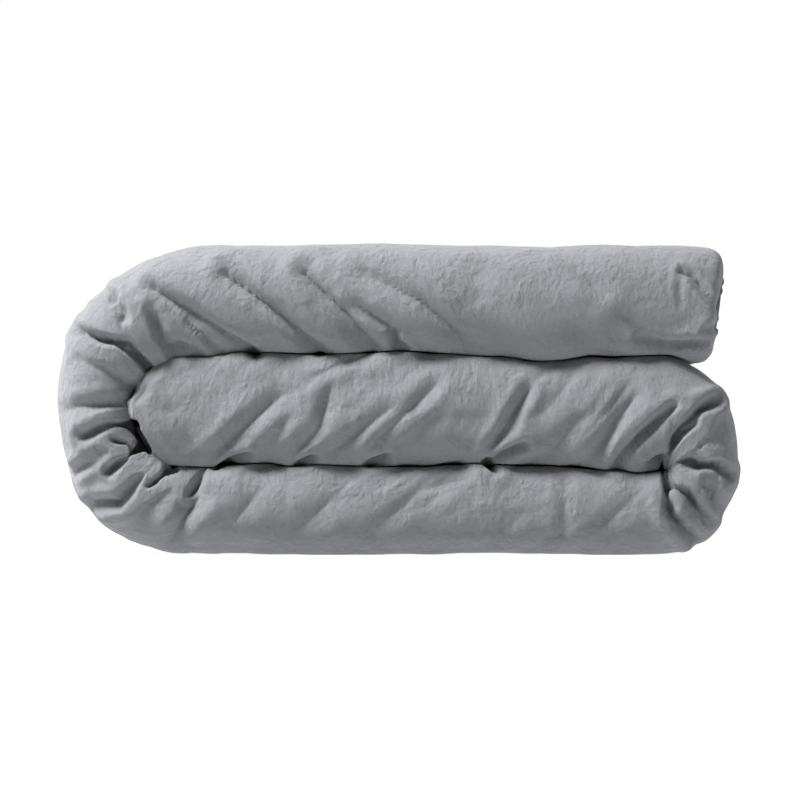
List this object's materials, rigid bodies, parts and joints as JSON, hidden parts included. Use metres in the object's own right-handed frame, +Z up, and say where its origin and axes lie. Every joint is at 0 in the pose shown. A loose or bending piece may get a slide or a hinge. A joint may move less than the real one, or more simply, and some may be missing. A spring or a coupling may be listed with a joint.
{
  "type": "folded duvet",
  "caption": "Duvet in a buttoned cotton cover, folded in half and then in three as a pile, whose top layer folds open.",
  "frame": {"origin": "middle of the pile's footprint, on the surface it lies on", "axes": "+Z up; +X to the right along the pile, seen from its front; -Y out of the front, where the duvet is folded across its width"},
  "size_m": [0.707, 0.7, 0.3236],
  "materials": {
    "cover": "washed cotton percale, matt, finely creased",
    "cover_inside": "washed cotton percale, matt",
    "insert_shell": "down-proof cotton, matt",
    "insert_fill": "fluffy white fill",
    "button": "satin",
    "tape": "woven cotton tape",
    "label": "woven satin ribbon"
  },
  "bodies": {
    "base": {"cover_face_middle": "cover", "cover_back_middle": "cover_inside", "insert_shell_middle": "insert_shell", "insert_fill_middle": "insert_fill", "cover_face_right_fold": "cover", "cover_back_right_fold": "cover_inside", "insert_shell_right_fold": "insert_shell", "insert_fill_right_fold": "insert_fill", "cover_face_bottom": "cover", "cover_back_bottom": "cover_inside", "insert_shell_bottom": "insert_shell", "insert_fill_bottom": "insert_fill", "head_seam": "cover", "corner_tie_head_lower": "tape", "insert_loop_head_lower": "tape", "corner_tie_head_upper": "tape", "insert_loop_head_upper": "tape"},
    "fold_low": {"cover_face_left_fold_low": "cover", "cover_back_left_fold_low": "cover_inside", "insert_shell_left_fold_low": "insert_shell", "insert_fill_left_fold_low": "insert_fill"},
    "fold_mid": {"cover_face_left_fold_mid": "cover", "cover_back_left_fold_mid": "cover_inside", "insert_shell_left_fold_mid": "insert_shell", "insert_fill_left_fold_mid": "insert_fill"},
    "fold_top": {"cover_face_left_fold_top": "cover", "cover_back_left_fold_top": "cover_inside", "insert_shell_left_fold_top": "insert_shell", "insert_fill_left_fold_top": "insert_fill"},
    "top_layer": {"cover_face_top": "cover", "cover_back_top": "cover_inside", "insert_shell_top": "insert_shell", "insert_fill_top": "insert_fill", "foot_hem_face": "cover", "foot_hem_back": "cover_inside", "button_fold": "button", "button_lower_1": "button", "button_upper_1": "button", "button_lower_2": "button", "button_upper_2": "button", "button_lower_3": "button", "button_upper_3": "button", "corner_tie_foot_lower": "tape", "insert_loop_foot_lower": "tape", "corner_tie_foot_upper": "tape", "insert_loop_foot_upper": "tape", "care_label": "label"}
  },
  "joints": [
    {"name": "fold_low_hinge", "type": "hinge", "parent": "base", "child": "fold_low", "pos_m": [-0.2065, 0, 0], "axis": [0, -1, 0], "range_deg": [0, 29.2]},
    {"name": "fold_mid_hinge", "type": "hinge", "parent": "fold_low", "child": "fold_mid", "pos_m": [-0.3369, 0, 0.07284], "axis": [0, -1, 0], "range_deg": [0, 62.67]},
    {"name": "fold_top_hinge", "type": "hinge", "parent": "fold_mid", "child": "fold_top", "pos_m": [-0.33123, 0, 0.24739], "axis": [0, -1, 0], "range_deg": [0, 61.51]},
    {"name": "top_layer_hinge", "type": "hinge", "parent": "fold_top", "child": "top_layer", "pos_m": [-0.1795, 0, 0.3235], "axis": [0, -1, 0], "range_deg": [0, 26.65]}
  ],
  "couplings": [
    {"joint": "fold_low_hinge", "follows": "fold_mid_hinge", "ratio": 0.46577},
    {"joint": "fold_top_hinge", "follows": "fold_mid_hinge", "ratio": 0.98133},
    {"joint": "top_layer_hinge", "follows": "fold_mid_hinge", "ratio": 0.42508}
  ]
}
